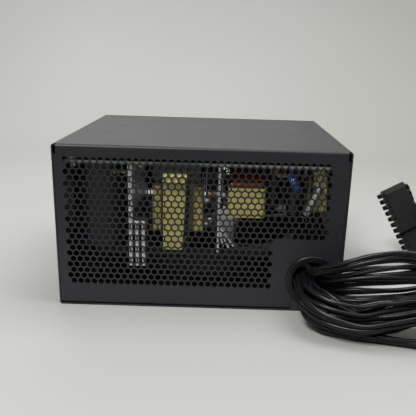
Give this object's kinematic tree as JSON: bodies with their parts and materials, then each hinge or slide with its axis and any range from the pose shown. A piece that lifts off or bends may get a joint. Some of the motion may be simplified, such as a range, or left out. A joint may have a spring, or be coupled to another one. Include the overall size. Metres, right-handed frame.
{
  "type": "computer power supply unit",
  "caption": "Black steel computer power supply with a hexagonal cable-end grille, fan, mains inlet, rocker switch and loose black output harnesses.",
  "frame": {"origin": "middle of the fan face, which the unit stands on", "axes": "+Z from the fan face to the board side, +Y from the cable end to the mains end, +X along the width towards the cable exit"},
  "size_m": [0.4084, 0.2302, 0.086],
  "materials": {
    "coated_steel": "fine matte black powder coat",
    "screw_steel": "black oxide steel",
    "bushing_plastic": "satin black plastic",
    "guard_wire": "plated steel wire",
    "fan_plastic": "satin black plastic",
    "bearing_bronze": "sintered bronze",
    "stator_steel": "laminated steel",
    "board": "green solder mask",
    "brass": "turned brass",
    "zinc": "zinc plated steel",
    "film": "milky film",
    "inlet_plastic": "smooth black plastic",
    "contact_metal": "nickel plated brass",
    "capacitor_sleeve": "shrink sleeve",
    "aluminium": "mill finish",
    "moulded_package": "moulded epoxy",
    "yellow_tape": "polyester tape",
    "enamelled_copper": "red enamelled copper",
    "blue_epoxy": "blue epoxy dip",
    "yellow_box": "yellow moulded box",
    "wire_jacket": "black vinyl wire jacket",
    "tie_nylon": "black nylon",
    "connector_nylon": "black nylon"
  },
  "bodies": {
    "chassis": {"tray": "coated_steel", "cable_end_wall": "coated_steel", "mains_end_wall": "coated_steel", "fan_cover": "coated_steel", "cover_screws": "screw_steel", "cable_bushing": "bushing_plastic", "fan_guard": "guard_wire", "fan_screws": "screw_steel", "fan_frame": "fan_plastic", "fan_bearing": "bearing_bronze", "fan_stator": "stator_steel", "main_board": "board", "board_standoffs": "brass", "board_screws": "zinc", "insulation_sheet": "film", "ac_inlet": "inlet_plastic", "inlet_pins": "contact_metal", "inlet_screws": "screw_steel", "switch_housing": "inlet_plastic", "bulk_capacitor": "capacitor_sleeve", "primary_heatsink": "aluminium", "primary_transistors": "moulded_package", "transformer_core": "yellow_tape", "transformer_winding": "yellow_tape", "transformer_bobbins": "moulded_package", "secondary_heatsink": "aluminium", "output_rectifiers": "moulded_package", "device_screws": "zinc", "inductor_coil": "enamelled_copper", "inductor_tape": "yellow_tape", "output_capacitors": "capacitor_sleeve", "leaning_capacitor": "aluminium", "disc_capacitor": "blue_epoxy", "standby_transformer": "yellow_tape", "pfc_choke": "enamelled_copper", "filter_choke": "enamelled_copper", "line_capacitor": "yellow_box", "bridge_rectifier": "moulded_package", "control_board": "board", "board_leads": "wire_jacket", "main_harness": "wire_jacket", "cpu_harness": "wire_jacket", "graphics_harness": "wire_jacket", "sata_harness": "wire_jacket", "drive_harness": "wire_jacket", "cpu_hank": "wire_jacket", "graphics_hank": "wire_jacket", "sata_hank": "wire_jacket", "drive_hank": "wire_jacket", "cable_ties": "tie_nylon", "main_plug": "connector_nylon", "cpu_plug": "connector_nylon", "graphics_plug": "connector_nylon", "sata_plug": "connector_nylon", "drive_plug": "connector_nylon"},
    "rotor": {"fan_rotor": "fan_plastic"},
    "rocker": {"switch_rocker": "inlet_plastic"},
    "main_latch": {"main_latch": "connector_nylon"},
    "cpu_latch": {"cpu_latch": "connector_nylon"},
    "graphics_latch": {"graphics_latch": "connector_nylon"}
  },
  "joints": [
    {"name": "fan_spin", "type": "hinge", "parent": "chassis", "child": "rotor", "pos_m": [0, 0.002, 0.014], "axis": [0, 0, 1], "continuous": true},
    {"name": "rocker_tilt", "type": "hinge", "parent": "chassis", "child": "rocker", "pos_m": [-0.001, 0.065, 0.048], "axis": [1, 0, 0], "range_deg": [-18, 0]},
    {"name": "main_latch_flex", "type": "hinge", "parent": "chassis", "child": "main_latch", "pos_m": [0.13477, 0.01497, 0.02887], "axis": [-0.4549, 0.2832, 0.8443], "range_deg": [0, 5], "stiffness_Nm_per_rad": 0.02},
    {"name": "cpu_latch_flex", "type": "hinge", "parent": "chassis", "child": "cpu_latch", "pos_m": [0.1415, -0.0625, 0.0111], "axis": [0, 1, 0], "range_deg": [0, 5], "stiffness_Nm_per_rad": 0.02},
    {"name": "graphics_latch_flex", "type": "hinge", "parent": "chassis", "child": "graphics_latch", "pos_m": [0.1515, -0.0225, 0.0111], "axis": [0, 1, 0], "range_deg": [0, 5], "stiffness_Nm_per_rad": 0.02}
  ]
}
